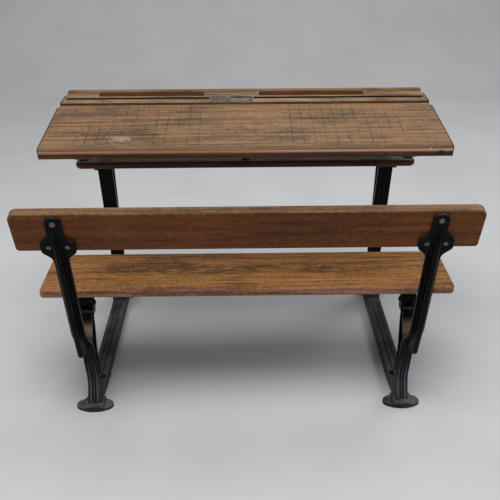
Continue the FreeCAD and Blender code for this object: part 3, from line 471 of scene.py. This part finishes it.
def lined_hollows(tree, place, facing, colour, rough, height, blot):
    """Colours the ledge by where it lies, and paints shade into the slate grooves and pen trays.
    """
    x, y, z = axes_of(tree, place)
    ledge = times(tree, level(tree, y, ledge_front, ledge_front + 0.003), 0.80)
    colour = tint(tree, ledge, colour,
                  tint(tree, level(tree, blot, 0.36, 0.62), ledge_dark, ledge_pale))
    inside = times(tree, level(tree, z, board_top - 0.0003, board_top - 0.0025),
                   between(tree, y, *hollows_y, 0.0002),
                   level(tree, maths(tree, "ABSOLUTE", x), hollows_end, hollows_end - 0.0007))
    groove = level(tree, y, tray_front + 0.001, tray_front - 0.001)
    tray = level(tree, y, tray_front - 0.001, tray_front + 0.001)
    # Painted shade in the pen trays and, darker, in the slate grooves.
    colour = tint(tree, times(tree, inside, tray, 0.62), colour, tray_shade_brown)
    colour = tint(tree, times(tree, inside, groove, 0.95), colour, groove_shade_black)
    return colour, maths(tree, "MULTIPLY_ADD", inside, 0.15, rough), height


dress("back_board", sawn_oak("back board oak", board_scrubbed, board_varnish, pith=(0.22, 0.40),
                             cone=0.05, seed=6.6, gloss=(0.48, 0.64), rings=0.5, sheen=0.08,
                             extra=lined_hollows))


# ---- Lid ----
# Sloping oak lid on two pivots, greyed by sunlight and scrubbing, varnish left along its
# nosed front. Two blocks of ten by eight inch squares are scratched into it and inked, for
# sewing work.
lid_scrubbed = ((0.090, 0.050, 0.027), (0.190, 0.112, 0.061), (0.275, 0.166, 0.090))
lid_varnish = ((0.052, 0.020, 0.010), (0.098, 0.040, 0.020), (0.155, 0.070, 0.036))
lid_dirt = (0.050, 0.042, 0.040)
lid_slope = math.radians(6.4)
lid_axis_y, lid_axis_z = joint_places["lid_hinge"][1:]
lid_reach = 0.2308
inch = 0.0254
block_start, block_first_row = 0.1053, 0.0230
block_columns, block_rows = 10.0, 8.0
line_edge, line_core, line_overshoot = 0.042, 0.016, 0.030
ink_black, warm_patch = (0.030, 0.026, 0.026), (0.270, 0.140, 0.060)
nose_start, nose_full = 0.0110, 0.0070
nose_top, nose_front = (0.108, 0.054, 0.028), (0.345, 0.165, 0.080)
# A painted highlight along the round of the nose.
painted_nose_highlight = (0.520, 0.395, 0.350)
dark_end_line = (0.026, 0.022, 0.021)
end_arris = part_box("lid_board")[1].x - 0.0034
# Single marks: centre, reach along and across the grain, raggedness, strength and colour of
# the knot in the nose, the pale chip beside it and the scuff in the left block.
lid_marks = (
    ((0.4281, -0.0277, 0.5662), (0.0075, 0.0060), 1.2, 0.90, (0.018, 0.016, 0.018)),
    ((0.4054, -0.0270, 0.5731), (0.0026, 0.0026), 0.5, 0.95, (0.620, 0.440, 0.210)),
    ((-0.2780, 0.0230, 0.5845), (0.0250, 0.0130), 6.0, 0.42, (0.480, 0.390, 0.300)))


def ruled_squares(tree, place, facing, colour, rough, height, blot):
    """Inked scratches at whole inches, and the worn nose, ends and single marks of the lid.

    Columns are counted from the middle gap, rows from the front edge, which lies lid_reach in
    front of the pivot down the slope. The distance to the nearest line is the ping-pong of
    the count, which is 0 at each whole number and a half midway. The nose is dark above and
    red in front, with a painted highlight between, stronger on its right part. A mark's
    distance is divided by its reach, and noise frays its edge.
    """
    back, rise = math.cos(lid_slope), math.sin(lid_slope)
    run = maths(tree, "ADD", dots(tree, place, (0.0, back, rise)),
                lid_reach - lid_axis_y * back - lid_axis_z * rise)
    x = axes_of(tree, place)[0]
    apart = maths(tree, "ABSOLUTE", x)
    column = times(tree, maths(tree, "SUBTRACT", apart, block_start), 1.0 / inch)
    row = times(tree, maths(tree, "SUBTRACT", run, block_first_row), 1.0 / inch)
    up = level(tree, facing[2], 0.90, 0.97)
    hand = cloud(tree, stretched(tree, place, (13.0, 13.0, 13.0)), 1.0, 4.0, 0.6)
    ink = 0.0
    for count, low, high, wide in ((column, 0.45, 1.0, 1.0), (row, 0.25, 0.95, 1.7)):
        away = maths(tree, "PINGPONG", count, 0.5)
        stroke = times(tree, level(tree, away, line_edge * wide, line_core * wide),
                       level(tree, hand, 0.38, 0.56, low, high))
        ink = maths(tree, "MAXIMUM", stroke, ink)
    ink = times(tree, ink, up)
    for count, last in ((column, block_columns), (row, block_rows)):
        inside = between(tree, count, -line_overshoot, last + line_overshoot, 0.015)
        ink = times(tree, ink, inside)
    colour = tint(tree, ink, colour, ink_black)
    warm = cloud(tree, stretched(tree, place, (7.0, 12.0, 12.0), (5.0, 1.0, 0.0)), 1.0, 4.0, 0.6)
    warm = times(tree, level(tree, warm, 0.50, 0.68, 0.0, 0.55), up)
    colour = tint(tree, warm, colour, warm_patch)
    front = times(tree, level(tree, run, nose_start, nose_full),
                  level(tree, facing[2], -0.10, -0.02))
    nose = times(tree, front, level(tree, blot, 0.34, 0.62, 0.60, 0.92))
    colour = tint(tree, nose, colour,
                  tint(tree, level(tree, facing[2], 0.42, 0.56), nose_front, nose_top))
    # Painted highlight: a pale line on the nose's round, stronger to the right.
    nose_glint = times(tree, front, between(tree, facing[2], 0.10, 0.46, 0.06),
                    level(tree, x, -0.04, 0.14, 0.12, 0.52))
    colour = tint(tree, nose_glint, colour, painted_nose_highlight)
    fray = maths(tree, "SUBTRACT", cloud(tree, place, 260.0, 4.0, 0.7), 0.5)
    for centre, (along, over), ragged, share, stain in lid_marks:
        away = put(tree, "ShaderNodeVectorMath", {0: place, 1: centre},
                   operation="SUBTRACT").outputs[0]
        reaches = put(tree, "ShaderNodeVectorMath", {0: away, 1: (along, over, over)},
                      operation="DIVIDE").outputs[0]
        far = put(tree, "ShaderNodeVectorMath", {0: reaches},
                  operation="LENGTH").outputs["Value"]
        far = maths(tree, "MULTIPLY_ADD", fray, ragged, far)
        colour = tint(tree, level(tree, far, 1.1, 0.6, 0.0, share), colour, stain)
    # A thin dark line along the top arris at both ends.
    ends = times(tree, level(tree, apart, end_arris, end_arris + 0.0014),
                 level(tree, facing[2], 0.1, 0.4), 0.92)
    colour = tint(tree, ends, colour, dark_end_line)
    rough = maths(tree, "MULTIPLY_ADD", level(tree, run, 0.018, 0.008), -0.16, rough)
    return colour, rough, maths(tree, "SUBTRACT", height, times(tree, ink, 1.2))


dress("lid_board", sawn_oak("greyed lid oak", lid_scrubbed, lid_varnish, pith=(0.36, 0.44),
                            cone=0.03, seed=1.3, gloss=(0.42, 0.60), ring=0.0085,
                            tilt=lid_slope, grain=105.0, dirt=lid_dirt, keeps=(-0.15, 0.25),
                            extra=ruled_squares))


# ---- Inkwell ----
# A pressed steel housing let into the back board, with a fixed cover on the left and a
# sliding cover on the right, and a glazed pot that hangs in the board under it.
cover_dull, cover_bright = (0.085, 0.070, 0.055), (0.170, 0.145, 0.118)
cover_rust = (0.045, 0.030, 0.020)
slide_dull, slide_bright = (0.150, 0.130, 0.105), (0.270, 0.240, 0.200)
slide_rust = (0.075, 0.050, 0.034)
cream_dark, cream_pale = (0.62, 0.57, 0.46), (0.74, 0.70, 0.60)


def tarnished(name, dull, bright, rust):
    """Sheet steel: cloudy tarnish, brown specks and a worn arris."""
    material, tree, shader, place, facing = new_surface(name)
    haze = cloud(tree, place, 60.0, 6.0, 0.65)
    spots = cloud(tree, place, 300.0, 4.0, 0.7)
    scratches = cloud(tree, stretched(tree, place, (30.0, 900.0, 900.0)), 1.0, 3.0)
    soft, arris = soft_arris(tree, 0.0008)
    colour = tint(tree, level(tree, haze, 0.35, 0.65), dull, bright)
    colour = tint(tree, level(tree, spots, 0.56, 0.70, 0.0, 0.75), colour, rust)
    colour = tint(tree, times(tree, arris, 0.4), colour, bright)
    rough = level(tree, haze, 0.3, 0.7, 0.45, 0.62)
    height = maths(tree, "MULTIPLY_ADD", scratches, 0.4, spots)
    finish_surface(tree, shader, colour, rough, height, soft, 0.4, 0.0002)
    shader.inputs["Metallic"].default_value = 0.5
    return material


def clouded(name, scale, first, second, smoothest, roughest):
    """A plain finish: one soft cloud mixes two colours and two roughnesses."""
    material, tree, shader, place, facing = new_surface(name)
    haze = cloud(tree, place, scale, 4.0)
    tree.links.new(tint(tree, level(tree, haze, 0.3, 0.7), first, second),
                   shader.inputs["Base Color"])
    tree.links.new(level(tree, haze, 0.3, 0.7, smoothest, roughest), shader.inputs["Roughness"])
    return material


dress("inkwell_housing", tarnished("tarnished cover", cover_dull, cover_bright, cover_rust))
dress("inkwell_slide", tarnished("rubbed slide", slide_dull, slide_bright, slide_rust))
dress("inkwell_pot", clouded("cream glaze", 60.0, cream_dark, cream_pale, 0.10, 0.20))


# ---- Screws ----
# Slotted iron wood screws, countersunk flush and brown with age. Each head stands where the
# solid screw does, and its slot points its own way.
iron_brown, iron_speck = (0.110, 0.068, 0.046), (0.330, 0.235, 0.170)
slot_rub = (0.40, 0.31, 0.24)
first_turn, next_turn = 0.7, 1.9


def grid_faces(rows, columns, wrap=False):
    """The four corners of each cell in a grid of points numbered row after row.

    With wrap, the last column is joined to the first.
    """
    cells = columns if wrap else columns - 1
    row, column = np.meshgrid(np.arange(rows - 1), np.arange(cells), indexing="ij")
    here = (row * columns + column).reshape(-1)
    beside = (row * columns + (column + 1) % columns).reshape(-1)
    return np.stack([here, beside, beside + columns, here + columns], axis=1)


def screw_lines(name):
    """Where each screw of a node starts, which way it goes, its head's radius and its length.

    The loose triangles are sorted into screws by spreading the lowest label over shared
    corners. A screw's axis is the first singular vector of its points, its head is at the
    end where the points reach furthest from the axis.
    """
    mesh = nodes[name].data
    points = np.empty(len(mesh.vertices) * 3)
    mesh.vertices.foreach_get("co", points)
    points = points.reshape(-1, 3)
    mesh.calc_loop_triangles()
    corners = np.empty(len(mesh.loop_triangles) * 3, int)
    mesh.loop_triangles.foreach_get("vertices", corners)
    unique, merged = np.unique(np.round(points * 1.0e5).astype(int), axis=0, return_inverse=True)
    corners = merged.reshape(-1)[corners].reshape(-1, 3)
    labels = np.arange(len(unique))
    while True:
        lowest = labels[corners].min(axis=1)
        spread = labels.copy()
        np.minimum.at(spread, corners.reshape(-1), np.repeat(lowest, 3))
        if (spread == labels).all():
            break
        labels = spread
    found = []
    for label in np.unique(labels):
        own = unique[labels == label] * 1.0e-5
        middle = (own.min(axis=0) + own.max(axis=0)) / 2.0
        line = np.linalg.svd(own - own.mean(axis=0))[2][0]
        along = (own - middle) @ line
        aside = np.linalg.norm(own - middle - along[:, None] * line, axis=1)
        end = along[np.argmax(aside)]
        found.append((middle + line * end, -line * np.sign(end), aside.max(), np.ptp(along)))
    return found


def slotted_screw(start, inward, radius, length, turn):
    """One screw as two grids, each as its points and its faces.

    The head is a grid across the slot: at t, the sine of an even angle, along the slot its
    half chord is sqrt(1 - t squared), and the columns step from rim to slot wall to slot
    floor and back. The body is a profile of (radius, depth) pairs carried round the axis in
    steps of the same angle, so its first ring meets the head's rim point for point.
    """
    steps, slot_half, slot_depth = 14, 0.13, 0.26
    side_way = np.cross(inward, (0.31, 0.83, 0.46))
    side_way /= np.linalg.norm(side_way)
    slot_way = math.cos(turn) * side_way + math.sin(turn) * np.cross(inward, side_way)
    wide_way = np.cross(inward, slot_way)
    t = np.sin(np.linspace(-1.0, 1.0, steps + 1) * math.pi / 2.0)
    chord = np.sqrt(np.maximum(1.0 - t * t, 0.0))
    slot = np.minimum(chord, slot_half)
    wide = np.stack([-chord, -slot, -slot, slot, slot, chord], axis=1)
    deep = np.array([0.0, 0.0, slot_depth, slot_depth, 0.0, 0.0]) * np.ones((steps + 1, 1))
    head = start + radius * (t[:, None, None] * slot_way + wide[..., None] * wide_way
                             + deep[..., None] * inward)
    around = np.linspace(0.0, 2.0 * math.pi, 2 * steps, endpoint=False)
    ring = np.cos(around)[:, None] * slot_way + np.sin(around)[:, None] * wide_way
    profile = np.array([(1.0, 0.0), (0.46, 0.56 * radius), (0.44, length * 0.92), (0.0, length)])
    body = start + radius * profile[:, :1, None] * ring + profile[:, 1:, None] * inward
    return ((head.reshape(-1, 3), grid_faces(steps + 1, 6)),
            (body.reshape(-1, 3), grid_faces(len(profile), 2 * steps, wrap=True)))


def aged_iron():
    """Brown iron with lighter specks, rubbed pale along the slot."""
    material, tree, shader, place, facing = new_surface("aged screws")
    haze = cloud(tree, place, 320.0, 5.0, 0.7)
    soft, arris = soft_arris(tree, 0.0006)
    colour = tint(tree, level(tree, haze, 0.38, 0.62), iron_brown, iron_speck)
    colour = tint(tree, times(tree, arris, 0.5), colour, slot_rub)
    rough = level(tree, haze, 0.3, 0.7, 0.35, 0.6)
    finish_surface(tree, shader, colour, rough, haze, soft, 0.3, 0.0002)
    shader.inputs["Metallic"].default_value = 0.2
    return material


aged = aged_iron()
for name, body in (("back_rail_screws", "frame"), ("back_board_screws", "frame"),
                   ("shelf_screws", "frame"), ("seat_screws", "bench_seat"),
                   ("lid_pivot_screws", "frame"), ("bracket_screws", "frame"),
                   ("inkwell_screws", "frame")):
    points, faces, count = [], [], 0
    for number, line in enumerate(screw_lines(name)):
        for some, some_faces in slotted_screw(*line, first_turn + next_turn * number):
            points.append(some)
            faces.append(some_faces + count)
            count += len(some)
    mesh = bpy.data.meshes.new(name.replace("screws", "slotted_screws"))
    mesh.from_pydata(np.concatenate(points).tolist(), [], np.concatenate(faces).tolist())
    mesh.materials.append(aged)
    shell = bmesh.new()
    shell.from_mesh(mesh)
    bmesh.ops.remove_doubles(shell, verts=shell.verts, dist=1.0e-6)
    bmesh.ops.recalc_face_normals(shell, faces=shell.faces)
    shell.to_mesh(mesh)
    shell.free()
    piece = bpy.data.objects.new(mesh.name, mesh)
    bpy.context.scene.collection.objects.link(piece)
    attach(piece, body)
    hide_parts(name)


# ---- Floor, backdrop and light ----
# A sheet of pale paper that curves up behind the desk, a broad lamp overhead and a smaller
# one high on the sitters' right.
sheet_half, sheet_front, bend_start, bend_radius, sheet_top = 7.0, -6.0, 2.2, 1.2, 5.0
paper_grey, paper_pale = (0.56, 0.565, 0.575), (0.60, 0.605, 0.615)
# The sheet is a profile carried from side to side. It is flat up to bend_start, then runs on
# by the sine of an angle and rises by one less its cosine, both times bend_radius, and then
# stands upright.
bend = np.linspace(0.1, 1.57, 12)
run = np.concatenate([np.linspace(sheet_front, bend_start, 12),
                      bend_start + bend_radius * np.sin(bend),
                      np.full(6, bend_start + bend_radius)])
rise = np.concatenate([np.zeros(12), bend_radius - bend_radius * np.cos(bend),
                       np.linspace(bend_radius + 0.2, sheet_top, 6)])
wide = np.array([-sheet_half, sheet_half])
points = np.stack([np.tile(wide, run.size), np.repeat(run, 2), np.repeat(rise, 2)], axis=1)
floor_mesh = bpy.data.meshes.new("floor")
floor_mesh.from_pydata(points.tolist(), [], grid_faces(run.size, 2).tolist())
floor_mesh.polygons.foreach_set("use_smooth", np.ones(len(floor_mesh.polygons), bool))
floor_mesh.materials.append(clouded("pale floor", 3.0, paper_grey, paper_pale, 0.75, 0.85))
floor = bpy.data.objects.new("floor", floor_mesh)
bpy.context.scene.collection.objects.link(floor)

world = bpy.data.worlds.new("room")
world.use_nodes = True
world.node_tree.nodes["Background"].inputs["Color"].default_value = (0.93, 0.96, 1.0, 1.0)
world.node_tree.nodes["Background"].inputs["Strength"].default_value = 0.26
bpy.context.scene.world = world


def soft_lamp(name, place, aim, size, power, colour):
    """A large area lamp that looks from place to aim."""
    data = bpy.data.lights.new(name, "AREA")
    data.shape = "RECTANGLE"
    data.size, data.size_y = size
    data.energy = power
    data.color = colour
    lamp = bpy.data.objects.new(name, data)
    bpy.context.scene.collection.objects.link(lamp)
    lamp.location = place
    lamp.rotation_euler = (Vector(aim) - Vector(place)).to_track_quat("-Z", "Y").to_euler()


soft_lamp("ceiling", place=(-0.2, -0.5, 3.0), aim=(0.0, 0.0, 0.3), size=(2.6, 2.0),
          power=84.0, colour=(1.0, 0.985, 0.96))
soft_lamp("window", place=(1.9, 1.5, 2.3), aim=(0.1, 0.0, 0.4), size=(1.1, 0.9),
          power=17.0, colour=(0.94, 0.97, 1.0))
bpy.context.scene.view_settings.view_transform = "Standard"
